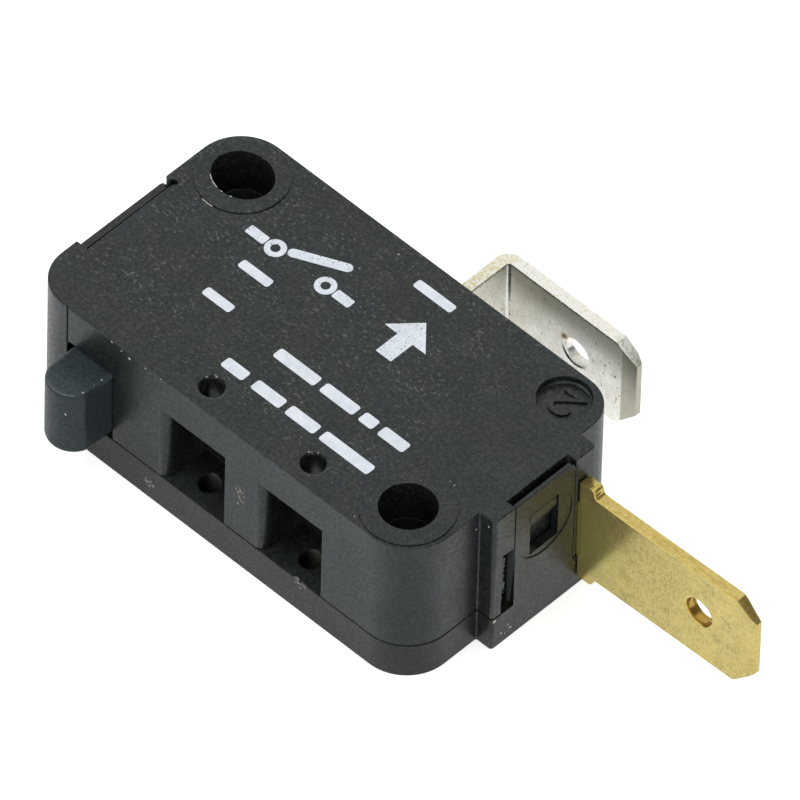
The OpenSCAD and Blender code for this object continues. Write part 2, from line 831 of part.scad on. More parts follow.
module moving_contact() {
    color("#c9c7bd")
        translate([contact_x, pivot_y, mid_z])
            rotate([-90, 0, 0]) {
                translate([0, 0, arm_t / 2])
                    cylinder(h = contact_h, d = contact_d);
                translate([0, 0, -arm_t / 2 - rivet_tail_h])
                    cylinder(h = rivet_tail_h, d = (contact_d + rivet_d) / 2);
                translate([0, 0, -arm_t])
                    cylinder(h = 2 * arm_t, d = rivet_d - seat_gap);
            }
}

module fixed_contact() {
    color("#c9c7bd")
        translate([contact_x, end_term_y, mid_z])
            rotate([-90, 0, 0]) {
                translate([0, 0, -contact_h])
                    cylinder(h = contact_h, d = contact_d);
                translate([0, 0, -contact_h / 2])
                    cylinder(h = contact_h / 2 + strip_t, d = rivet_d - seat_gap);
            }
}

// Terminals

// Push-on tab along +X from 0 to l, its thickness along +Y, its width middled on z = 0
module tab(l, hole_in, hole_rise, near_slope, far_slope) {
    mouth_d = tab_hole_d + 4 * tab_hole_mouth;
    side = tab_w / 2;
    difference() {
        intersection() {
            linear_extrude(tab_w, center = true)
                polygon([
                    [0, 0], [l - near_slope, 0], [l, tab_slope_d], [l, tab_slope_d + tab_tip_t],
                    [l - far_slope, strip_t], [0, strip_t],
                ]);
            translate([0, strip_t + cut, 0])
                rotate([90, 0, 0])
                    linear_extrude(strip_t + 2 * cut)
                        polygon([
                            [0, -side], [l - tab_cut_l, -side], [l, tab_low_cut_w - side],
                            [l, side - tab_cut_w], [l - tab_cut_l, side], [0, side],
                        ]);
        }
        translate([l - hole_in, strip_t / 2, hole_rise])
            rotate([90, 0, 0]) {
                cylinder(h = strip_t + 2 * cut, d = tab_hole_d, center = true);
                for (turn = [0, 180])
                    rotate([turn, 0, 0])
                        translate([0, 0, strip_t / 2 - tab_hole_mouth])
                            cylinder(h = 2 * tab_hole_mouth, d1 = tab_hole_d, d2 = mouth_d);
            }
    }
}

// Front view of the end terminal's shoulder, from x = 0, with its fillets towards the tab
module shoulder_front() {
    overhang = (shoulder_w - tab_w) / 2;
    r = min(shoulder_corner_r, overhang / 2);
    translate([0, -shoulder_w / 2])
        square([shoulder_l - r, shoulder_w]);
    translate([0, r - shoulder_w / 2])
        square([shoulder_l, shoulder_w - 2 * r]);
    for (side = [-1, 1]) {
        translate([shoulder_l - r, side * (shoulder_w / 2 - r)])
            circle(r);
        translate([shoulder_l, side * tab_w / 2])
            scale([1, side])
                corner_fillet(min(shoulder_fillet_r, overhang / 2));
    }
}

module contact_terminal() {
    neck_l = block_out + strip_gap;
    tab_start = neck_l + shoulder_l / 2;
    color("#c9a44c")
        union() {
            difference() {
                translate([inner_end_x, end_term_y, strip_z])
                    cube([right_x - inner_end_x + strip_t / 2, strip_t, strip_w]);
                translate([contact_x, end_term_y + strip_t + cut, mid_z])
                    rotate([90, 0, 0])
                        cylinder(h = strip_t + 2 * cut, d = rivet_d);
            }
            translate([right_x, end_term_y, mid_z])
                rotate(end_splay) {
                    // neck through the end block
                    translate([0, 0, -strip_w / 2])
                        cube([tab_start, strip_t, strip_w]);
                    translate([neck_l, strip_t, 0])
                        rotate([90, 0, 0])
                            linear_extrude(strip_t)
                                shoulder_front();
                    translate([tab_start, 0, 0])
                        tab(
                            end_tab_l + shoulder_l / 2, end_hole_in, end_hole_rise,
                            end_front_slope, end_back_slope
                        );
                }
        }
}

module common_terminal() {
    outer_y = back_y + back_term_out;
    leg_y0 = back_y + strip_gap;
    bend_y = outer_y - strip_t - bend_r;
    bend_x = back_term_x + strip_t + bend_r;
    run_bend_y = run_y + strip_t + bend_r;
    run_bend_x = back_term_x - bend_r;
    bracket_bend_x = bracket_face_x + bend_r;
    bracket_bend_y = run_y - bend_r;
    bracket_tip_y = pivot_y - 2 * notch_d;
    color("#c4c5c1")
        difference() {
            union() {
                // leg and bend outside the housing
                translate([0, 0, mid_z - tab_w / 2])
                    linear_extrude(tab_w) {
                        translate([back_term_x, leg_y0])
                            square([strip_t, bend_y - leg_y0]);
                        translate([bend_x, bend_y])
                            rotate(90)
                                bend_plan();
                    }
                translate([bend_x, outer_y - strip_t, mid_z])
                    tab(back_tab_l - strip_t - bend_r, back_hole_in, 0, back_inner_slope, back_outer_slope);
                // strip inside the housing
                translate([0, 0, strip_z])
                    linear_extrude(strip_w) {
                        translate([back_term_x, run_bend_y])
                            square([strip_t, leg_y0 - run_bend_y + strip_t]);
                        translate([run_bend_x, run_bend_y])
                            rotate(-90)
                                bend_plan();
                        translate([bracket_bend_x, run_y])
                            square([run_bend_x - bracket_bend_x, strip_t]);
                        translate([bracket_bend_x, bracket_bend_y])
                            rotate(90)
                                bend_plan();
                        translate([bracket_x, bracket_tip_y])
                            square([strip_t, bracket_bend_y - bracket_tip_y]);
                    }
            }
            // opening between the bracket's two prongs
            translate([bracket_x - cut, bracket_tip_y - cut, mid_z - arm_window / 2])
                cube([strip_t + 2 * cut, plunger_travel + arm_window / 2 + cut, arm_window]);
            // knife-edge notch
            translate([bracket_face_x, pivot_y, strip_z - cut])
                rotate(45)
                    linear_extrude(strip_w + 2 * cut)
                        square(notch_d * sqrt(2), center = true);
        }
}

casing();
cover();
plunger();
return_spring();
contact_arm();
moving_contact();
snap_spring();
common_terminal();
contact_terminal();
fixed_contact();
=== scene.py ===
"""Micro switch: materials, softened edges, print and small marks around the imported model."""
import json
import math
import random

import bmesh
import bpy
from mathutils import Matrix, Vector


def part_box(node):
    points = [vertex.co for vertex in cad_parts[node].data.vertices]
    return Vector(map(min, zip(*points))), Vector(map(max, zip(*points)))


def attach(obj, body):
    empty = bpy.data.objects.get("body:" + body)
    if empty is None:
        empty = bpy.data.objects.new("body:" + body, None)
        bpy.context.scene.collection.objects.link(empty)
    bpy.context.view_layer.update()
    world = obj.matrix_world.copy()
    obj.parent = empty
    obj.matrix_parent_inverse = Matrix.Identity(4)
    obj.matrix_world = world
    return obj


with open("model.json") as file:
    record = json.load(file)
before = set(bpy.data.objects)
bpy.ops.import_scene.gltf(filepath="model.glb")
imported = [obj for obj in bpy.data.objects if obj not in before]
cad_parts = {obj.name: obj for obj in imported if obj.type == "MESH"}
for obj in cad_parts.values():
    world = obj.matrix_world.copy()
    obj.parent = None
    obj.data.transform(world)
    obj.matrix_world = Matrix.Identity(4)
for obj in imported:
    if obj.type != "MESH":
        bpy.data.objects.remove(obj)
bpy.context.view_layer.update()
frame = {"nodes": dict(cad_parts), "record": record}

MM = 0.001


def mm(x, y, z):
    return Vector((x * MM, y * MM, z * MM))


def in_mm(metres):
    """Millimetres, to the nearest micrometre."""
    return round(metres / MM, 3)


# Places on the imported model, in millimetres
CASING_LOW, CASING_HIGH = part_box("casing")
FRONT_Y, END_X, RING_TOP_Z = in_mm(CASING_LOW.y), in_mm(CASING_HIGH.x), in_mm(CASING_HIGH.z)
RING_HEIGHT = 0.09
ROOF_Z = round(RING_TOP_Z - RING_HEIGHT, 3)
HOLE_X, HOLE_Y = 11.1, 5.15
HOLES = ((-HOLE_X, HOLE_Y), (HOLE_X, -HOLE_Y))
MOUNTS = {mount["name"]: mount["pos_m"] for mount in frame["record"]["mounts"]}
PINS = tuple((in_mm(x), in_mm(y)) for x, y, _ in (MOUNTS["lever_pin_1"], MOUNTS["lever_pin_2"]))
MARK = (11.64, 6.07)
NOSE = (-9.32, -9.32)
TAB_HOLE = (23.71, 4.21, 4.8)


def direction(azimuth, elevation):
    """Unit vector towards an azimuth and elevation in degrees, from the front at azimuth 0."""
    a, e = math.radians(azimuth), math.radians(elevation)
    return Vector((math.sin(a) * math.cos(e), -math.cos(a) * math.cos(e), math.sin(e)))


def add_to_scene(name, data):
    made = bpy.data.objects.new(name, data)
    bpy.context.scene.collection.objects.link(made)
    return made


# Camera
AZIMUTH, ELEVATION, ROLL = 42.895, 49.382, 1.673
SIDE, DROP, DISTANCE = 4.132, -3.580, 1198.035
FOCAL_PX, IMAGE_PX, SENSOR = 22628.12, 800, 36.0
CLIP_NEAR, CLIP_FAR = 0.05, 20.0


def make_camera():
    roll = math.radians(ROLL)
    forward = -direction(AZIMUTH, ELEVATION)
    right = forward.cross(Vector((0, 0, 1))).normalized()
    down = forward.cross(right)
    across = right * math.cos(roll) - down * math.sin(roll)
    below = right * math.sin(roll) + down * math.cos(roll)
    place = (across * SIDE + below * DROP - forward * DISTANCE) * MM
    data = bpy.data.cameras.new("camera")
    data.sensor_width = SENSOR
    data.lens = FOCAL_PX / IMAGE_PX * SENSOR
    data.clip_start, data.clip_end = CLIP_NEAR, CLIP_FAR
    camera = add_to_scene("camera", data)
    axes = Matrix((across, -below, -forward)).transposed().to_4x4()
    camera.matrix_world = Matrix.Translation(place) @ axes
    bpy.context.scene.camera = camera


make_camera()
bpy.context.scene.view_settings.view_transform = "Standard"


# Node helpers: sockets go by number where a node has several of one name
def node(tree, kind, inputs=None, out=0, **settings):
    made = tree.nodes.new(kind)
    for name, value in settings.items():
        setattr(made, name, value)
    for key, value in (inputs or {}).items():
        if isinstance(value, bpy.types.NodeSocket):
            tree.links.new(value, made.inputs[key])
        else:
            made.inputs[key].default_value = value
    return made.outputs[out]


def calc(tree, operation, a, b=0.0):
    return node(tree, "ShaderNodeMath", {0: a, 1: b}, operation=operation)


def product(tree, first, *others):
    for other in others:
        first = calc(tree, "MULTIPLY", first, other)
    return first


def weighted(tree, *terms):
    """Sum of values, each times its weight."""
    parts = [calc(tree, "MULTIPLY", value, weight) for value, weight in terms]
    total = parts[0]
    for part in parts[1:]:
        total = calc(tree, "ADD", total, part)
    return total


def span(tree, value, lo, hi, a=0.0, b=1.0, smooth=False):
    """Goes from a to b while a value goes from lo to hi."""
    kind = "SMOOTHSTEP" if smooth else "LINEAR"
    limits = {0: value, 1: lo, 2: hi, 3: a, 4: b}
    return node(tree, "ShaderNodeMapRange", limits, interpolation_type=kind)


def mix(tree, share, a, b):
    return node(tree, "ShaderNodeMix", {0: share, 2: a, 3: b}, data_type="FLOAT")


def blend(tree, share, a, b, way="MIX"):
    a, b = ((*c, 1) if isinstance(c, tuple) else c for c in (a, b))
    inputs = {0: share, 6: a, 7: b}
    return node(tree, "ShaderNodeMix", inputs, out=2, data_type="RGBA", blend_type=way)


def layer(tree, colour, paint, value, lo, hi, strength=1.0):
    """Lays paint over a colour while a value goes from lo to hi, up to a strength."""
    return blend(tree, span(tree, value, lo, hi, 0.0, strength), colour, paint)


def here(tree):
    return node(tree, "ShaderNodeTexCoord", out="Object")


def grain(tree, size_mm, detail=2.0, stretch=(1, 1, 1), shift=0.0, twist=0.0):
    """Noise with features of about size_mm, drawn out along the axes whose stretch is above 1."""
    scale = tuple(1.0 / s for s in stretch)
    place = {"Vector": here(tree), "Location": (shift, shift, shift), "Scale": scale}
    values = {
        "Vector": node(tree, "ShaderNodeMapping", place), "Scale": 1.0 / (size_mm * MM),
        "Detail": detail, "Distortion": twist,
    }
    return node(tree, "ShaderNodeTexNoise", values)


def away(tree, point):
    """Distance from a point that is given in millimetres."""
    ends = {0: here(tree), 1: mm(*point)}
    return node(tree, "ShaderNodeVectorMath", ends, out="Value", operation="DISTANCE")


def near(tree, point, reach_mm, fade_mm):
    """1 within reach of a point, 0 beyond the fade."""
    return span(tree, away(tree, point), reach_mm * MM, (reach_mm + fade_mm) * MM, 1.0, 0.0)


def part_of(tree, vector, axis):
    return node(tree, "ShaderNodeSeparateXYZ", {0: vector}, out=axis)


def along(tree, axis, lo_mm, hi_mm, a=0.0, b=1.0):
    """Goes from a to b between two places along an axis."""
    return span(tree, part_of(tree, here(tree), axis), lo_mm * MM, hi_mm * MM, a, b)


def normal_part(tree, axis):
    return part_of(tree, node(tree, "ShaderNodeNewGeometry", out="Normal"), axis)


def facing(tree, axis):
    """How far a surface faces along an axis, either way: 0 to 1."""
    return calc(tree, "ABSOLUTE", normal_part(tree, axis))


def begin(name, roughness=0.5, metallic=0.0, specular=0.5):
    made = bpy.data.materials.new(name)
    made.use_nodes = True
    tree = made.node_tree
    shader = tree.nodes["Principled BSDF"]
    shader.inputs["Roughness"].default_value = roughness
    shader.inputs["Metallic"].default_value = metallic
    shader.inputs["Specular IOR Level"].default_value = specular
    return made, tree, shader


def wire(tree, shader, colour, roughness, height, depth_mm, strength):
    """Links a colour, a roughness (or None for the constant) and a bump to a shader."""
    tree.links.new(colour, shader.inputs["Base Color"])
    if roughness is not None:
        tree.links.new(roughness, shader.inputs["Roughness"])
    relief = {"Strength": strength, "Distance": depth_mm * MM, "Height": height}
    tree.links.new(node(tree, "ShaderNodeBump", relief), shader.inputs["Normal"])


# Plastics
LEVEL = (0.6, 0.9)  # facing along Z at which a surface starts to count, and fully counts, as level
WARM_TINT = (1.35, 1.05, 0.70)
# Painted light: colour for the shaded walls of the sockets.
SOCKET_PAINTED_LIGHT = (0.055, 0.057, 0.046)
# Painted light: upright walls of the slit and of the sockets, painted lighter where they sit in shade: place,
# reach, fade and colour.
PAINTED_LIGHT_WALLS = (
    ((14.8, -1.13, 4.7), 2.2, 0.3, (0.075, 0.086, 0.090)),
    *(((x, y, 1.75), 0.95, 0.05, SOCKET_PAINTED_LIGHT) for x, y in PINS),
)


def plastic(name, dark, light, speck, speck_from, rough, specular, bump, tint, front_ledge_colour=None, painted_walls=()):
    """Moulded glass-filled plastic: mottled grain, pale fibre specks, level faces lighter towards the front,
    a matte surface, and painted light on some shaded walls.
    """
    made, tree, shader = begin(name, specular=specular)
    shader.inputs["Specular Tint"].default_value = (*tint, 1.0)
    flat = span(tree, facing(tree, "Z"), *LEVEL)
    mottle = grain(tree, 0.22)
    fine = grain(tree, 0.085, detail=1.0, shift=0.37)
    broad = grain(tree, 2.2, shift=0.3)
    tone = weighted(tree, (mottle, 0.42), (fine, 0.42), (broad, 0.16))
    contrast = mix(tree, flat, span(tree, tone, 0.42, 0.62), span(tree, tone, 0.46, 0.58))
    colour = blend(tree, contrast, dark, light)
    warm = product(tree, flat, span(tree, grain(tree, 2.4, detail=3.0, shift=0.5), 0.40, 0.62))
    colour = blend(tree, warm, colour, WARM_TINT, "MULTIPLY")

    # The specks are denser on level faces, come in patches, and thin out at the end and the front edge.
    fibres = grain(tree, 0.17, stretch=(1.5, 1, 1), shift=0.7)
    fibres = calc(tree, "ADD", fibres, calc(tree, "MULTIPLY", flat, 0.055))
    patchy = span(tree, grain(tree, 1.8, shift=0.9), 0.35, 0.65, 0.25, 1.0)
    to_end = along(tree, "X", 7.0, 10.5, 1.0, 0.3)
    to_front = along(tree, "Y", -7.3, -5.6, 0.4, 1.0)
    patchy = product(tree, patchy, to_end, to_front)
    specks = span(tree, fibres, speck_from, speck_from + 0.12)
    colour = blend(tree, product(tree, patchy, specks), colour, speck)
    # Level faces near the front get a lighter colour, fading towards the back.
    if front_ledge_colour:
        upward = span(tree, normal_part(tree, "Z"), *LEVEL)
        ledge = product(tree, upward, along(tree, "Y", -7.2, -5.4, 1.0, 0.0))
        colour = blend(tree, product(tree, ledge, span(tree, tone, 0.3, 0.6)), colour, front_ledge_colour)
    # Painted light: upright walls near the listed places get a lighter colour in place of light that does not
    # reach them.
    for place, reach, fade, painted_colour in painted_walls:
        upright = span(tree, facing(tree, "Y"), 0.5, 0.9)
        colour = blend(tree, product(tree, near(tree, place, reach, fade), upright), colour, painted_colour)
    skin_rough = span(tree, tone, 0.40, 0.60, rough + 0.08, rough - 0.08)
    wire(tree, shader, colour, skin_rough, tone, 0.03, bump)
    return made


# Metals
BRASS_TONES = {
    "warm": (0.585, 0.455, 0.113), "dull": (0.420, 0.350, 0.105), "haze": (0.405, 0.33, 0.095),
    "root": (0.545, 0.545, 0.125), "wash": (0.69, 0.575, 0.198), "mottle": (0.665, 0.56, 0.215),
    "rub": (0.69, 0.59, 0.26), "pit": (0.24, 0.18, 0.055), "scratch": (0.20, 0.16, 0.06),
    "edge_dark": (0.50, 0.365, 0.090), "edge_light": (0.67, 0.535, 0.185), "bore": (0.46, 0.30, 0.06),
}
HAZE_AT, ROOT_AT = (20.6, 3.9, 5.3), (15.3, 3.9, 4.6)
SCRATCHES = (((18.49, 3.69, 3.36), 0.25), ((18.69, 3.69, 1.9), 0.45), ((21.5, 3.77, 3.1), 0.3))


def brass(name):
    """Rolled brass strip, rubbed upright on its faces, with scratches, an olive root and drawn edges."""
    made, tree, shader = begin(name, metallic=0.78)
    tones = BRASS_TONES
    rub = grain(tree, 0.07, detail=3.0, stretch=(1, 1, 10))
    wash = grain(tree, 0.42, detail=3.0, stretch=(1.3, 1, 1.2), shift=0.8, twist=0.8)
    cloud = grain(tree, 1.5, detail=3.0, shift=0.2)
    mottle = grain(tree, 0.15, detail=3.0, shift=0.55)
    pits = grain(tree, 0.12, stretch=(1, 1, 2), shift=0.9)
    colour = blend(tree, span(tree, cloud, 0.38, 0.62), tones["warm"], tones["dull"])
    colour = blend(tree, product(tree, near(tree, HAZE_AT, 1.4, 2.4), 0.7), colour, tones["haze"])
    colour = blend(tree, product(tree, near(tree, ROOT_AT, 1.6, 1.8), 0.8), colour, tones["root"])
    colour = layer(tree, colour, tones["wash"], wash, 0.42, 0.62, 0.45)
    colour = layer(tree, colour, tones["mottle"], mottle, 0.44, 0.62, 0.75)
    colour = layer(tree, colour, tones["rub"], rub, 0.48, 0.70, 0.45)
    colour = layer(tree, colour, tones["pit"], pits, 0.68, 0.76, 0.7)

    drawn = grain(tree, 0.09, detail=3.0, stretch=(10, 1, 1), shift=0.15)
    crumb = grain(tree, 0.16, shift=0.33)
    lined = span(tree, weighted(tree, (drawn, 0.5), (crumb, 0.5)), 0.38, 0.62)
    edge = blend(tree, lined, tones["edge_dark"], tones["edge_light"])
    edge = blend(tree, near(tree, TAB_HOLE, 0.95, 0.05), edge, tones["bore"])
    colour = blend(tree, span(tree, facing(tree, "Y"), 0.55, 0.75, 1.0, 0.0), colour, edge)
    for place, reach in SCRATCHES:
        line = product(tree, near(tree, place, reach, 0.35), span(tree, rub, 0.54, 0.66, 0.0, 0.7))
        colour = blend(tree, line, colour, tones["scratch"])
    rough = span(tree, calc(tree, "ADD", rub, cloud), 0.7, 1.3, 0.17, 0.27)
    wire(tree, shader, colour, rough, weighted(tree, (rub, 0.35), (wash, 1.0)), 0.012, 0.35)
    return made


# Two of these tones are painted light: a painted reflection of the dark casing, and a painted shadow line
# under the top edge.
TIN_TONES = {
    "light": (0.955, 0.947, 0.900), "dull": (0.875, 0.860, 0.785), "shade": (0.55, 0.53, 0.43),
    "grit": (0.50, 0.49, 0.42), "pit": (0.09, 0.09, 0.065), "tip": (0.42, 0.405, 0.32),
    "stain": (0.22, 0.14, 0.04), "seam": (0.10, 0.09, 0.06), "slant": (0.42, 0.41, 0.36),
    "edge": (0.92, 0.915, 0.87), "edge_cream": (0.75, 0.67, 0.37),
}
TIP_PITS_AT, STAIN_AT, BEND_AT = (9.6, 12.4, 4.0), (5.80, 12.35, 5.25), (1.6, 12.2, 4.6)
CUT_ROUGH = 0.62


def tinned(name):
    """Tin-plated strip: pale satin faces with pits and stains, cream granular cut edges, a painted reflection
    of the dark casing on the upper faces, and a painted shadow line under the top edge.
    """
    made, tree, shader = begin(name, metallic=1.0)
    tones = TIN_TONES
    cloud = grain(tree, 0.9, detail=3.0, shift=0.4)
    grit = grain(tree, 0.13, detail=3.0, shift=0.62)
    pits = grain(tree, 0.17, stretch=(1, 1, 2.4), shift=0.5)
    crumb = grain(tree, 0.18, detail=3.0, shift=0.15)
    rub = grain(tree, 0.08, stretch=(1, 1, 12), shift=0.1)
    colour = blend(tree, span(tree, cloud, 0.35, 0.7), tones["light"], tones["dull"])
    # Painted reflection: the faces darken towards the top edge in place of the dark casing that they reflect;
    # the leg is left out.
    shade = product(tree, along(tree, "Z", 5.6, 6.9, 0.0, 0.8), along(tree, "X", 1.5, 2.1))
    colour = blend(tree, shade, colour, tones["shade"])
    colour = layer(tree, colour, tones["grit"], grit, 0.52, 0.70, 0.5)
    more_pits = calc(tree, "MULTIPLY", near(tree, TIP_PITS_AT, 0.9, 1.6), 0.05)
    colour = layer(tree, colour, tones["pit"], calc(tree, "ADD", pits, more_pits), 0.69, 0.73, 0.9)
    colour = blend(tree, product(tree, along(tree, "X", 9.88, 9.98), 0.85), colour, tones["tip"])
    stain = product(tree, near(tree, STAIN_AT, 0.14, 0.2), span(tree, cloud, 0.2, 0.45))
    colour = blend(tree, stain, colour, tones["stain"])
    # Painted shadow: a dark irregular line on the faces just under the top cut edge.
    seam = product(tree, along(tree, "Z", 7.62, 7.74, 0.0, 0.8), span(tree, crumb, 0.36, 0.5))
    colour = blend(tree, seam, colour, tones["seam"])

    cut = span(tree, facing(tree, "Z"), 0.6, 0.8)
    cream = calc(tree, "ADD", crumb, along(tree, "X", 1.3, 2.2, 0.17, 0.0))
    edge = blend(tree, span(tree, cream, 0.52, 0.84), tones["edge"], tones["edge_cream"])
    slant = product(tree, along(tree, "X", 9.2, 9.6, 0.0, 0.6), span(tree, crumb, 0.5, 0.66))
    edge = blend(tree, slant, edge, tones["slant"])
    colour = blend(tree, cut, colour, edge)
    rough = span(tree, calc(tree, "ADD", rub, cloud), 0.7, 1.3, 0.26, 0.38)
    height = weighted(tree, (rub, near(tree, BEND_AT, 4.0, 1.0)), (crumb, 0.5))
    wire(tree, shader, colour, mix(tree, cut, rough, CUT_ROUGH), height, 0.010, 0.3)
    return made


def wire_metal(name, light, dark, rough):
    """Bare metal of the small inner pieces."""
    made, tree, shader = begin(name, metallic=1.0)
    fine = grain(tree, 0.12, detail=3.0)
    colour = blend(tree, span(tree, fine, 0.3, 0.7), light, dark)
    wire(tree, shader, colour, span(tree, fine, 0.3, 0.7, rough - 0.05, rough + 0.08), fine, 0.006, 0.2)
    return made


# Ink, scuffs, crumbs and painted highlights
INK_LIGHT, INK_DULL, INK_WORN = (0.74, 0.78, 0.83), (0.62, 0.67, 0.73), (0.13, 0.14, 0.15)
# Colours of bright crumbs, also used for painted highlights on rims.
CRUMB_AND_HIGHLIGHT_DARK, CRUMB_AND_HIGHLIGHT_LIGHT = (0.30, 0.29, 0.25), (0.72, 0.70, 0.62)


def ink(name, worn_from):
    """Pad-printed white ink with worn pin-holes that show the plastic."""
    made, tree, shader = begin(name, roughness=0.6, specular=0.3)
    spots = grain(tree, 0.11)
    tint = grain(tree, 0.5, shift=0.6)
    colour = blend(tree, span(tree, tint, 0.3, 0.7), INK_LIGHT, INK_DULL)
    colour = layer(tree, colour, INK_WORN, spots, worn_from, worn_from + 0.06)
    wire(tree, shader, colour, None, spots, 0.006, 0.3)
    return made


def scuff(name, dark, light, size_mm=0.09):
    """Plastic that was torn or scraped: pale, rough and crumbly; also the finish of painted highlights on
    some rims.
    """
    made, tree, shader = begin(name)
    crumb = grain(tree, size_mm)
    colour = blend(tree, span(tree, crumb, 0.42, 0.62), dark, light)
    wire(tree, shader, colour, span(tree, crumb, 0.3, 0.7, 0.5, 0.75), crumb, 0.04, 0.7)
    return made


def chip(name):
    """Bright crumbs of plastic and dust on the edges, and painted highlights on rims."""
    made, tree, shader = begin(name)
    crumb = grain(tree, 0.05)
    colour = blend(tree, span(tree, crumb, 0.35, 0.65), CRUMB_AND_HIGHLIGHT_DARK, CRUMB_AND_HIGHLIGHT_LIGHT)
    wire(tree, shader, colour, None, crumb, 0.02, 0.5)
    return made


COOL, PLAIN = (0.83, 0.98, 1.0), (0.91, 0.985, 0.955)
CASING = plastic(
    "casing_plastic", dark=(0.0006, 0.0010, 0.0011), light=(0.0190, 0.0215, 0.0216),
    speck=(0.088, 0.086, 0.078), speck_from=0.63, rough=0.35, specular=0.48, bump=0.55, tint=COOL,
)
COVER = plastic(
    "cover_plastic", dark=(0.0015, 0.0020, 0.0020), light=(0.0165, 0.0188, 0.0178),
    speck=(0.060, 0.060, 0.056), speck_from=0.66, rough=0.35, specular=0.48, bump=0.5, tint=PLAIN,
    front_ledge_colour=(0.034, 0.042, 0.041), painted_walls=PAINTED_LIGHT_WALLS,
)
PLUNGER = plastic(
    "plunger_plastic", dark=(0.0110, 0.0165, 0.0195), light=(0.0260, 0.0350, 0.0400),
    speck=(0.060, 0.066, 0.068), speck_from=0.66, rough=0.38, specular=0.30, bump=0.6, tint=COOL,
    front_ledge_colour=(0.041, 0.054, 0.061),
)
BRASS = brass("brass_strip")
TIN = tinned("plated_strip")
STEEL = wire_metal("spring_steel", (0.56, 0.57, 0.58), (0.42, 0.43, 0.44), 0.30)
BRONZE = wire_metal("arm_bronze", (0.62, 0.41, 0.20), (0.50, 0.32, 0.14), 0.33)
CONTACT = wire_metal("contact_metal", (0.72, 0.71, 0.67), (0.58, 0.57, 0.53), 0.28)
INK = ink("print_ink", 0.63)
INK_FINE = ink("print_ink_fine", 0.72)
SCUFF = scuff("scuffed_plastic", (0.022, 0.022, 0.021), (0.20, 0.198, 0.185), 0.16)
# Painted highlights on the far rims of the pin holes.
GLINT = scuff("painted_rim_highlights", (0.09, 0.09, 0.09), (0.27, 0.27, 0.26))
# Rubbed plastic, also used for painted highlights on the sockets' rims and the plunger's nose.
RUB_AND_HIGHLIGHT = scuff("rubbed_plastic_and_highlight", (0.050, 0.058, 0.062), (0.15, 0.165, 0.17))
WEB = scuff("flash_plastic", (0.012, 0.014, 0.014), (0.12, 0.12, 0.11))
CHIP_AND_HIGHLIGHT = chip("edge_chips_and_highlights")
SLEEVE = scuff("bore_plastic", (0.012, 0.016, 0.015), (0.050, 0.056, 0.053))


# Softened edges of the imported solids
SHARP = math.radians(24)
COPLANAR = math.radians(0.8)
WELD_REACH = 2e-6


def soften_tree(name, weight, zones):
    """Marks outward edges for the bevel, lighter or heavier in some zones, and keeps inward corners crisp."""
    tree = bpy.data.node_groups.new(name, "GeometryNodeTree")
    for way in ("INPUT", "OUTPUT"):
        tree.interface.new_socket("Geometry", in_out=way, socket_type="NodeSocketGeometry")
    angle = node(tree, "GeometryNodeInputMeshEdgeAngle", out="Signed Angle")
    outward = calc(tree, "GREATER_THAN", angle, SHARP)
    inward = calc(tree, "LESS_THAN", angle, -SHARP)
    place = node(tree, "GeometryNodeInputPosition")
    x_y_z = [part_of(tree, place, axis) for axis in "XYZ"]
    total = weight
    for lo, hi, outside, zone_weight in zones:
        inside = outward
        for value, low, high in zip(x_y_z, lo, hi):
            for limit, test in ((low, "GREATER_THAN"), (high, "LESS_THAN")):
                if limit is not None:
                    inside = product(tree, inside, calc(tree, test, value, limit * MM))
        for x, y, radius in outside:
            flat = node(tree, "ShaderNodeCombineXYZ", {0: x_y_z[0], 1: x_y_z[1]})
            ends = {0: flat, 1: mm(x, y, 0)}
            far = node(tree, "ShaderNodeVectorMath", ends, out="Value", operation="DISTANCE")
            inside = product(tree, inside, calc(tree, "GREATER_THAN", far, radius * MM))
        total = calc(tree, "ADD", total, product(tree, inside, zone_weight - weight))
    total = product(tree, outward, total)
    geometry = node(tree, "NodeGroupInput")
    geometry = node(tree, "GeometryNodeSetShadeSmooth", {0: geometry, 2: True}, domain="FACE")
    geometry = node(tree, "GeometryNodeSetShadeSmooth", {0: geometry, 1: inward, 2: False}, domain="EDGE")
    store = {"Geometry": geometry, "Name": "bevel_weight_edge", "Value": total}
    geometry = node(tree, "GeometryNodeStoreNamedAttribute", store, data_type="FLOAT", domain="EDGE")
    tree.links.new(geometry, tree.nodes.new("NodeGroupOutput").inputs[0])
    return tree


def soften(name, width_mm=0.0, weight=1.0, zones=(), segments=2):
    """Shades a solid smooth between its corners and, given a width, bevels its outward edges."""
    piece = frame["nodes"][name]
    piece.modifiers.new("weld", "WELD").merge_threshold = WELD_REACH
    if width_mm:
        flat = piece.modifiers.new("flat", "DECIMATE")
        flat.decimate_type = "DISSOLVE"
        flat.angle_limit = COPLANAR
    piece.modifiers.new("edges", "NODES").node_group = soften_tree("edges_" + name, weight, zones)
    if width_mm:
        bevel = piece.modifiers.new("bevel", "BEVEL")
        bevel.limit_method = "WEIGHT"
        bevel.width = width_mm * MM
        bevel.segments = segments
        bevel.use_clamp_overlap = False
        bevel.loop_slide = False
    piece.modifiers.new("even", "WEIGHTED_NORMAL").keep_sharp = True


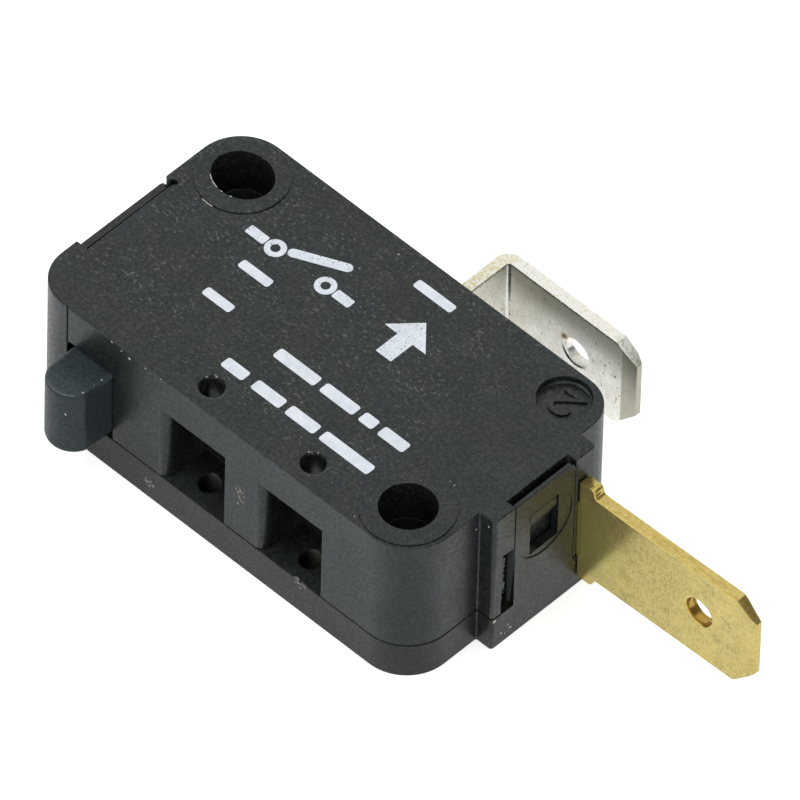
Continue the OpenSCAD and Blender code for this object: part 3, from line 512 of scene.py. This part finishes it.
# Zones: lowest corner, highest corner, circles (x, y, radius) to stay outside of, and the bevel's weight.
ROOF_SLACK = 0.01
ROOF_LO, ROOF_HI = ROOF_Z - ROOF_SLACK, ROOF_Z + ROOF_SLACK
RING_R, MARK_R, MOUTH_R = 2.72, 1.7, 1.2
ROOF_CIRCLES = (
    *((x, y, RING_R) for x, y in HOLES), (*MARK, MARK_R), *((x, y, MOUTH_R) for x, y in PINS),
)
OUTLINE = ((None, None, ROOF_LO), (None, None, ROOF_HI), ROOF_CIRCLES, 0.35)
MOUTHS = [((x - 1, y - 1, ROOF_LO), (x + 1, y + 1, ROOF_HI), (), 1.0) for x, y in PINS]
DISC = ((14.95, None, 4.8), (15.2, None, 9.2), (), 0.25)
NOSE_TOP = ((None, None, 7.3), (None, -7.5, None), (), 1.0)
NOSE_FOOT = ((None, None, None), (None, -7.5, 3.1), (), 1.0)
soften("casing", 0.2, 0.195, [OUTLINE, *MOUTHS])
soften("cover", 0.05, 0.8, [DISC])
soften("plunger", 0.3, 0.25, [NOSE_TOP, NOSE_FOOT], 3)
soften("common_terminal", 0.05)
soften("contact_terminal", 0.07)
soften("contact_arm", 0.03)
for name in ("return_spring", "snap_spring", "moving_contact", "fixed_contact"):
    soften(name)

FINISH = {
    "casing": CASING, "cover": COVER, "plunger": PLUNGER, "return_spring": STEEL, "snap_spring": STEEL,
    "contact_arm": BRONZE, "moving_contact": CONTACT, "fixed_contact": CONTACT,
    "common_terminal": TIN, "contact_terminal": BRASS,
}
for name, material in FINISH.items():
    frame["nodes"][name].data.materials.clear()
    frame["nodes"][name].data.materials.append(material)


# Shapes of the added pieces
CAP_STEPS, CORNER_STEPS, ARC_STEPS, RING_STEPS = 6, 4, 8, 48
MITRE_LIMIT = 0.4


def arc(x, y, first, last, wide, deep):
    """Points of an elliptic arc between two angles in degrees."""
    turn = [math.radians(first + (last - first) * k / ARC_STEPS) for k in range(ARC_STEPS + 1)]
    return [(x + wide * math.cos(t), y + deep * math.sin(t)) for t in turn]


def ribbon(points, width):
    """Outline of a line of that width with round ends."""
    half = width / 2
    count = len(points)
    left, right = [], []
    for i in range(count):
        before = Vector(points[max(i - 1, 0)])
        after = Vector(points[min(i + 1, count - 1)])
        point = Vector(points[i])
        if 0 < i < count - 1:
            way_in, way_out = (point - before).normalized(), (after - point).normalized()
            heading = (way_in + way_out).normalized()
            reach = half / max(MITRE_LIMIT, heading.dot(way_in))
        else:
            heading, reach = (after - before).normalized(), half
        side = Vector((-heading.y, heading.x)) * reach
        left.append(point + side)
        right.append(point - side)

    def cap(centre, start):
        turns = [Matrix.Rotation(-math.pi * k / CAP_STEPS, 2) for k in range(1, CAP_STEPS)]
        return [centre + turn @ start for turn in turns]

    first, last = Vector(points[0]), Vector(points[-1])
    return left + cap(last, left[-1] - last) + right[::-1] + cap(first, right[0] - first)


def bar(x0, x1, y, height, radius=0.16):
    """Outline of a round-cornered bar along X."""
    low, high = y - height / 2 + radius, y + height / 2 - radius
    left, right = x0 + radius, x1 - radius
    points = []
    for cx, cy, start in ((right, high, 0), (left, high, 90), (left, low, 180), (right, low, 270)):
        for k in range(CORNER_STEPS + 1):
            a = math.radians(start + 90 * k / CORNER_STEPS)
            points.append(Vector((cx + radius * math.cos(a), cy + radius * math.sin(a))))
    return points


def add_plate(bm, outline, z0, z1):
    lower = [bm.verts.new(mm(p[0], p[1], z0)) for p in outline]
    upper = [bm.verts.new(mm(p[0], p[1], z1)) for p in outline]
    bm.faces.new(upper)
    bm.faces.new(lower[::-1])
    for i in range(len(outline)):
        j = (i + 1) % len(outline)
        bm.faces.new((lower[i], lower[j], upper[j], upper[i]))


def add_ring(bm, x, y, profile):
    """Ring about an upright axis, from the (radius, z) corners of its section."""
    turn = [2 * math.pi * k / RING_STEPS for k in range(RING_STEPS)]
    loops = [
        [bm.verts.new(mm(x + radius * math.cos(t), y + radius * math.sin(t), z)) for t in turn]
        for radius, z in profile
    ]
    for k, a in enumerate(loops):
        b = loops[(k + 1) % len(loops)]
        for i in range(RING_STEPS):
            j = (i + 1) % RING_STEPS
            bm.faces.new((a[i], a[j], b[j], b[i]))


def square_section(outer, inner, low, high):
    return (outer, low), (outer, high), (inner, high), (inner, low)


# Planes that a scab lies in: its two directions on the surface.
FRONT = ((1, 0, 0), (0, 0, 1))
END = ((0, 1, 0), (0, 0, 1))
ABOVE = ((1, 0, 0), (0, 1, 0))
BLOB_STEPS = 14
BLOB_RIMS = ((1.0, -0.4), (0.92, 0.35), (0.5, 0.9))  # share of the radius, and of the height
BLOB_REACH, BLOB_RISE = (0.65, 1.15), (0.6, 1.2)  # limits of the random changes to both
SPOT_HEIGHT = 0.03


def blob(bm, centre, plane, radius, height, seed, stretch=1.0):
    """Irregular low scab on a surface, whose top stands height proud."""
    draw = random.Random(seed)
    across, up = (Vector(way) for way in plane)
    out = across.cross(up)
    middle = Vector(centre)
    rims = []
    for share, rise in BLOB_RIMS:
        rim = []
        for k in range(BLOB_STEPS):
            a = 2 * math.pi * k / BLOB_STEPS
            reach = radius * share * draw.uniform(*BLOB_REACH)
            point = middle + across * (reach * math.cos(a)) + up * (reach * stretch * math.sin(a))
            point += out * height * rise * draw.uniform(*BLOB_RISE)
            rim.append(bm.verts.new(point * MM))
        rims.append(rim)
    for low, high in zip(rims, rims[1:]):
        for k in range(BLOB_STEPS):
            j = (k + 1) % BLOB_STEPS
            bm.faces.new((low[k], low[j], high[j], high[k]))
    bm.faces.new(rims[-1])
    bm.faces.new(rims[0][::-1])


def finish_piece(bm, name, material, body):
    bmesh.ops.recalc_face_normals(bm, faces=bm.faces)
    mesh = bpy.data.meshes.new(name)
    bm.to_mesh(mesh)
    bm.free()
    mesh.materials.append(material)
    piece = add_to_scene(name, mesh)
    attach(piece, body)


# Print and raised digit
INK_Z0, INK_Z1 = ROOF_Z - 0.004, ROOF_Z + 0.012
PRINT_ROWS = (  # y, height, and the runs along X
    (-4.75, 0.74, ((-2.75, -1.15), (-0.55, 1.55), (1.95, 4.05), (4.45, 8.0))),
    (-2.35, 0.74, ((-1.25, 1.75), (2.15, 4.6), (5.0, 6.0), (6.4, 8.25))),
    (0.75, 0.6, ((-6.95, -4.75),)),
    (-1.95, 0.6, ((-6.95, -4.95),)),
    (6.3, 0.6, ((0.55, 3.3),)),
)
MARK_FLOOR_Z, DIGIT_TOP_Z = 9.78, 9.93


def print_symbol():
    """Plain diagram of an open contact: two leads, two posts and a lever."""
    bm = bmesh.new()
    y, r_out, r_in = 2.75, 0.62, 0.28
    post_a, post_b = -6.35, -2.65
    lead_from, lead_to, lead_w, lead_r, gap = -8.35, -0.75, 0.62, 0.1, 0.06
    for x in (post_a, post_b):
        add_ring(bm, x, y, square_section(r_out, r_in, INK_Z0, INK_Z1))
    for x0, x1 in ((lead_from, post_a - r_out - gap), (post_b + r_out + gap, lead_to)):
        add_plate(bm, bar(x0, x1, y, lead_w, lead_r), INK_Z0, INK_Z1)
    lever_way, lever_gap, lever_l, lever_w = Vector((0.905, 0.425)), 0.37, 3.05, 0.6
    start = Vector((post_a, y)) + lever_way * (r_out + lever_gap)
    add_plate(bm, ribbon([start, start + lever_way * lever_l], lever_w), INK_Z0, INK_Z1)
    finish_piece(bm, "print_symbol", INK, "housing")


def print_rows():
    """Rows of plain bars."""
    bm = bmesh.new()
    for y, height, runs in PRINT_ROWS:
        for x0, x1 in runs:
            add_plate(bm, bar(x0, x1, y, height), INK_Z0, INK_Z1)
    finish_piece(bm, "print_rows", INK_FINE, "housing")


def print_arrow():
    """Plain arrow for the way in which the plunger is pressed."""
    bm = bmesh.new()
    x, y = 2.9, 2.9
    head, shaft, tip, neck, tail = 1.5, 0.55, 1.75, 0.15, -1.5
    outline = (
        (-head, neck), (0, tip), (head, neck), (shaft, neck), (shaft, tail), (-shaft, tail), (-shaft, neck),
    )
    add_plate(bm, [(x + dx, y + dy) for dx, dy in outline], INK_Z0, INK_Z1)
    finish_piece(bm, "print_arrow", INK, "housing")


def mould_digit():
    """Raised plain digit on the floor of the round mould mark, with the floor's rounded rim."""
    bm = bmesh.new()
    x, y = MARK
    half_w, squash, bow_y, foot_y, line_w = 0.56, 0.82, -0.32, 0.75, 0.27
    bow_from, bow_step, bow_points = 190, 26, 9
    rim_out, rim_in, rim_high, rim_low = 1.53, 1.42, 9.91, 9.81
    points = []
    for k in range(bow_points):
        a = math.radians(bow_from - bow_step * k)
        points.append((x - half_w * math.cos(a), y + bow_y - half_w * squash * math.sin(a)))
    points += [(x + half_w, y + foot_y), (x - half_w, y + foot_y)]
    add_plate(bm, ribbon(points, line_w), MARK_FLOOR_Z, DIGIT_TOP_Z)
    section = ((rim_out, MARK_FLOOR_Z), (rim_out, rim_high), (rim_in, rim_low), (rim_in, MARK_FLOOR_Z))
    add_ring(bm, x, y, section)
    finish_piece(bm, "mould_digit", CASING, "housing")


# Scars, crumbs, and painted highlights on rims
SCARS = (  # place, half width, half height
    ((-5.1, FRONT_Y, 1.2), 0.32, 0.36),
    ((1.53, FRONT_Y, 5.65), 0.45, 0.75),
    ((6.12, -7.93, 2.2), 0.46, 0.30),
)
SCAR_BLOBS, SCAR_STRETCH = 16, 1.2
SCAR_FAR, SCAR_RADII, SCAR_HEIGHTS = (0.1, 1.0), (0.09, 0.19), (0.02, 0.05)
PIN_GLINTS = (  # distance from the pin hole's axis, angle, radius
    ((0.70, 156, 0.07), (0.83, 121, 0.08), (0.70, 113, 0.08)),
    ((0.77, 150, 0.08), (0.75, 114, 0.08), (0.72, 140, 0.06)),
)
GLINT_Z = 10.24
EDGE_CRUMBS = (  # place, plane, radius
    ((-7.92, FRONT_Y, 10.2), FRONT, 0.07), ((-6.6, FRONT_Y, 9.93), FRONT, 0.09),
    ((-5.44, FRONT_Y, 10.1), FRONT, 0.06), ((-7.2, FRONT_Y, 10.05), FRONT, 0.05),
    ((-4.3, FRONT_Y, 10.2), FRONT, 0.05), ((END_X, -2.55, 2.2), END, 0.13),
    ((END_X, -1.32, 0.72), END, 0.11), ((END_X, -2.02, 0.81), END, 0.08),
    ((END_X, -1.75, 0.6), END, 0.06), ((END_X, -1.5, 1.1), END, 0.06),
    ((11.42, -2.32, ROOF_Z), ABOVE, 0.05), ((11.76, -2.37, ROOF_Z), ABOVE, 0.045),
    ((11.8, -7.0, ROOF_Z), ABOVE, 0.05), ((-1.46, 7.04, ROOF_Z), ABOVE, 0.055),
    ((14.0, -3.03, 9.16), END, 0.07), ((14.64, -2.745, 9.66), FRONT, 0.05),
    ((-2.23, 4.88, ROOF_Z), ABOVE, 0.055), ((11.41, -2.53, ROOF_Z), ABOVE, 0.04),
    ((10.32, -3.44, RING_TOP_Z), ABOVE, 0.035), ((9.55, -7.6, ROOF_Z), ABOVE, 0.04),
)
# Painted highlights: bright slivers on the near rim of the first hole and at the foot of its ring.
HOLE_RIM, HOLE_RIM_Z = (1.84, 1.63), 10.385  # the first hole is longer along X
RIM_SLIVERS = ((-133, -121), (-118, -108), (-106, -102), (-91, -89), (-72, -70))
RING_FOOT, FOOT_SLIVER = (2.70, 2.70), (-98, -83)
SLIVER_W, FLAT_CRUMB = 0.05, 0.6
SOCKET_RIM_R, SOCKET_RIM_ENDS, SOCKET_RIM_W, SOCKET_RIM_Z = 0.68, (94, 128), 0.10, (2.36, 2.395)
# Bright spots on the plunger: crumbs, and painted highlights along its top rim.
PLUNGER_CRUMBS_AND_HIGHLIGHTS = (  # place, plane, radius
    ((-8.59, -10.69, 6.05), FRONT, 0.085), ((-8.14, -9.86, 7.495), ABOVE, 0.07),
    ((-8.06, -8.54, 7.495), ABOVE, 0.055), ((-8.13, -9.33, 7.49), ABOVE, 0.05),
    ((-8.09, -9.07, 7.49), ABOVE, 0.04), ((-8.85, -10.55, 7.42), ABOVE, 0.05),
)
# Light line on the plunger's nose: partly rubbed, partly a painted highlight.
NOSE_LINE_R, NOSE_LINE_W, NOSE_LINE_Z = 1.43, 0.08, (7.43, 7.492)
NOSE_LINE_ENDS = ((-124, -90), (-88, -44))
SLEEVE_R = 1.63
SLEEVES = ((HOLES[0], 6.2, 7.42, 1.55), (HOLES[1], 7.50, 7.60, 1.575))  # hole, foot, top, inner radius
BURR_OUT, BURR_IN, BURR_FROM, BURR_TO = 0.96, 0.865, 0.26, 0.365
SCAR_SEED, FLASH_SEED, EDGE_SEED, PLUNGER_SEED, GLINT_SEED = 11, 7, 20, 50, 70


def gate_scars():
    """Rough scars of the moulding gates on the front, one of them across the cover's rim."""
    bm = bmesh.new()
    draw = random.Random(SCAR_SEED)
    for seed, ((x, y, z), wide, tall) in enumerate(SCARS, 1):
        for k in range(SCAR_BLOBS):
            turn, far = draw.uniform(0, 2 * math.pi), draw.uniform(*SCAR_FAR)
            spot = (x + wide * far * math.cos(turn), y, z + tall * far * math.sin(turn))
            radius, height = draw.uniform(*SCAR_RADII), draw.uniform(*SCAR_HEIGHTS)
            blob(bm, spot, FRONT, radius, height, 10 * seed + k, SCAR_STRETCH)
    finish_piece(bm, "gate_scars", SCUFF, "housing")


def pin_glints():
    """Painted highlights: light spots on the far rims of the pin holes."""
    bm = bmesh.new()
    for (x, y), spots in zip(PINS, PIN_GLINTS):
        for k, (far, degrees, radius) in enumerate(spots):
            turn = math.radians(degrees)
            spot = (x + far * math.cos(turn), y + far * math.sin(turn), GLINT_Z)
            blob(bm, spot, ABOVE, radius, SPOT_HEIGHT, GLINT_SEED + k)
    finish_piece(bm, "pin_glints", GLINT, "housing")


def socket_glints():
    """Painted highlights along the far rims of the sockets below the pin holes."""
    bm = bmesh.new()
    for x, y in PINS:
        line = arc(x, y, *SOCKET_RIM_ENDS, SOCKET_RIM_R, SOCKET_RIM_R)
        add_plate(bm, ribbon(line, SOCKET_RIM_W), *SOCKET_RIM_Z)
    finish_piece(bm, "socket_glints", RUB_AND_HIGHLIGHT, "housing")


def edge_chips_and_highlights():
    """Bright crumbs along the edges of the housing, and slivers of painted highlight on the rim and ring of
    the first hole.
    """
    bm = bmesh.new()
    for k, (place, plane, radius) in enumerate(EDGE_CRUMBS):
        blob(bm, place, plane, radius, SPOT_HEIGHT, EDGE_SEED + k, 1.0 if k % 2 else FLAT_CRUMB)
    # Painted highlights: these slivers stand in for rim edges catching the light.
    slivers = [(ends, HOLE_RIM, HOLE_RIM_Z) for ends in RIM_SLIVERS]
    slivers.append((FOOT_SLIVER, RING_FOOT, ROOF_Z))
    for ends, radii, z in slivers:
        add_plate(bm, ribbon(arc(*HOLES[0], *ends, *radii), SLIVER_W), z - 0.01, z + 0.02)
    finish_piece(bm, "edge_chips_and_highlights", CHIP_AND_HIGHLIGHT, "housing")


def plunger_chips_and_highlights():
    """Bright spots on the plunger: crumbs, and painted highlights along its top rim."""
    bm = bmesh.new()
    for k, (place, plane, radius) in enumerate(PLUNGER_CRUMBS_AND_HIGHLIGHTS):
        blob(bm, place, plane, radius, SPOT_HEIGHT, PLUNGER_SEED + k)
    finish_piece(bm, "plunger_chips_and_highlights", CHIP_AND_HIGHLIGHT, "button")


def plunger_rub_and_highlight():
    """Light line along the upper rim of the plunger's nose: partly a rubbed lip, partly a painted highlight.
    """
    bm = bmesh.new()
    for ends in NOSE_LINE_ENDS:
        line = arc(*NOSE, *ends, NOSE_LINE_R, NOSE_LINE_R)
        add_plate(bm, ribbon(line, NOSE_LINE_W), *NOSE_LINE_Z)
    finish_piece(bm, "plunger_rub_and_highlight", RUB_AND_HIGHLIGHT, "button")


def bore_sleeves():
    """Lip inside each mounting hole, where a lower sleeve meets the casing's boss."""
    bm = bmesh.new()
    for (x, y), low, high, inner in SLEEVES:
        add_ring(bm, x, y, square_section(SLEEVE_R, inner, low, high))
    finish_piece(bm, "bore_sleeves", SLEEVE, "housing")


def hole_burr():
    """Burr that the punch left around the far rim of the end tab's hole."""
    bm = bmesh.new()
    add_ring(bm, 0, 0, square_section(BURR_OUT, BURR_IN, BURR_FROM, BURR_TO))
    turn = Matrix.Rotation(math.radians(-90), 4, "X")
    bmesh.ops.transform(bm, matrix=Matrix.Translation(mm(*TAB_HOLE)) @ turn, verts=bm.verts)
    finish_piece(bm, "hole_burr", BRASS, "housing")


def slit_flash():
    """Ragged web of moulding flash along one side of the empty slit."""
    draw = random.Random(FLASH_SEED)
    bm = bmesh.new()
    rows, wall_y, foot_z, height = 30, -2.08, 2.9, 4.0
    root_x, root_t, root_in, lip_x, lip_t = 14.72, 0.08, 0.03, 14.82, 0.05
    taper_rows, least, reaches, sway = 3, 0.06, (0.20, 0.46), 0.05
    roots, lips = [], []
    for k in range(rows):
        z = foot_z + height * k / (rows - 1)
        taper = min(1.0, k / taper_rows, (rows - 1 - k) / taper_rows)
        reach = least + taper * draw.uniform(*reaches)
        x = lip_x + draw.uniform(-sway, sway)
        roots.append([bm.verts.new(mm(root_x + side, wall_y - root_in, z)) for side in (0, root_t)])
        lips.append([bm.verts.new(mm(x + side, wall_y + reach, z)) for side in (0, lip_t)])
    for k in range(rows - 1):
        a, b, c, d = roots[k], roots[k + 1], lips[k], lips[k + 1]
        bm.faces.new((a[0], b[0], d[0], c[0]))
        bm.faces.new((a[1], c[1], d[1], b[1]))
        bm.faces.new((c[0], d[0], d[1], c[1]))
        bm.faces.new((a[0], a[1], b[1], b[0]))
    for k in (0, rows - 1):
        bm.faces.new((roots[k][0], lips[k][0], lips[k][1], roots[k][1]))
    finish_piece(bm, "slit_flash", WEB, "housing")


print_symbol()
print_rows()
print_arrow()
mould_digit()
gate_scars()
pin_glints()
socket_glints()
edge_chips_and_highlights()
plunger_chips_and_highlights()
plunger_rub_and_highlight()
bore_sleeves()
hole_burr()
slit_flash()


# Stage and light
FLOOR_HALF, FLOOR_Z = 1.5, -0.00003
FLOOR_GREY, FLOOR_GLOW = 0.8, 0.6
FLOOR_SHINE = 0.48  # share of the glow that glossy surfaces reflect, changed in some places below
# Painted light and shade on the floor in what glossy surfaces reflect: patches where the glow is raised or
# lowered.
FLOOR_PATCHES = (  # x, y, reach, fade, change
    (18.5, -12.5, 3, 7, -0.3), (-10, -13, 4, 5, -0.2), (18.5, 2.0, 3, 5, 0.2), (7.0, 10.5, 3, 5, 0.48),
)
DARK_GAP = Vector((0.757, 0.477, 0.43)).normalized()
GAP_EDGES, GAP_DEPTH = (0.72, 0.93), 0.95
LAMP_DISTANCE, LAMP_SIZE = 0.6, 0.5
WHITE = (1, 1, 1, 1)


def seen_directly(tree, path):
    return calc(tree, "MAXIMUM", path["Is Camera Ray"], path["Is Transmission Ray"])


def make_stage():
    """White floor that glows for the camera, and less for what reflects it, with painted lighter and darker
    patches in the reflected glow.
    """
    mesh = bpy.data.meshes.new("floor")
    half = FLOOR_HALF
    corners = [(x, y, FLOOR_Z) for x, y in ((-half, -half), (half, -half), (half, half), (-half, half))]
    mesh.from_pydata(corners, [], [(0, 1, 2, 3)])
    floor = add_to_scene("floor", mesh)
    made = bpy.data.materials.new("floor_white")
    made.use_nodes = True
    tree = made.node_tree
    tree.nodes.clear()
    path = tree.nodes.new("ShaderNodeLightPath").outputs
    shine = FLOOR_SHINE
    for x, y, reach, fade, change in FLOOR_PATCHES:
        far = away(tree, (x, y, 0))
        patch = span(tree, far, reach * MM, (reach + fade) * MM, change, 0.0, smooth=True)
        shine = calc(tree, "ADD", shine, patch)
    reflected = product(tree, path["Is Glossy Ray"], shine)
    seen = calc(tree, "MAXIMUM", seen_directly(tree, path), reflected)
    matte = node(tree, "ShaderNodeBsdfDiffuse", {"Color": (FLOOR_GREY, FLOOR_GREY, FLOOR_GREY, 1)})
    strength = product(tree, seen, FLOOR_GLOW)
    glow = node(tree, "ShaderNodeEmission", {"Color": WHITE, "Strength": strength})
    both = node(tree, "ShaderNodeAddShader", {0: matte, 1: glow})
    tree.links.new(both, tree.nodes.new("ShaderNodeOutputMaterial").inputs[0])
    mesh.materials.append(made)


def make_world():
    """Even white surroundings, with a darker gap between the softboxes for what the metal reflects."""
    world = bpy.data.worlds.new("studio")
    bpy.context.scene.world = world
    world.use_nodes = True
    tree = world.node_tree
    tree.nodes.clear()
    path = tree.nodes.new("ShaderNodeLightPath").outputs
    ways = {0: node(tree, "ShaderNodeTexCoord", out="Generated"), 1: DARK_GAP}
    toward = node(tree, "ShaderNodeVectorMath", ways, out="Value", operation="DOT_PRODUCT")
    shine = span(tree, toward, *GAP_EDGES, 1.0, 1.0 - GAP_DEPTH, smooth=True)
    level = mix(tree, path["Is Glossy Ray"], 1.0, shine)
    level = mix(tree, seen_directly(tree, path), level, 1.0)
    sky = node(tree, "ShaderNodeBackground", {"Color": WHITE, "Strength": level})
    tree.links.new(sky, tree.nodes.new("ShaderNodeOutputWorld").inputs[0])


def lamp(name, azimuth, elevation, power):
    way = direction(azimuth, elevation)
    data = bpy.data.lights.new(name, "AREA")
    data.shape, data.size, data.energy = "DISK", LAMP_SIZE, power
    made = add_to_scene(name, data)
    made.location = way * LAMP_DISTANCE
    made.rotation_mode = "QUATERNION"
    made.rotation_quaternion = way.to_track_quat("Z", "Y")


make_stage()
make_world()
lamp("key", -25, 30, 0.32)
lamp("fill", 75, 25, 0.22)
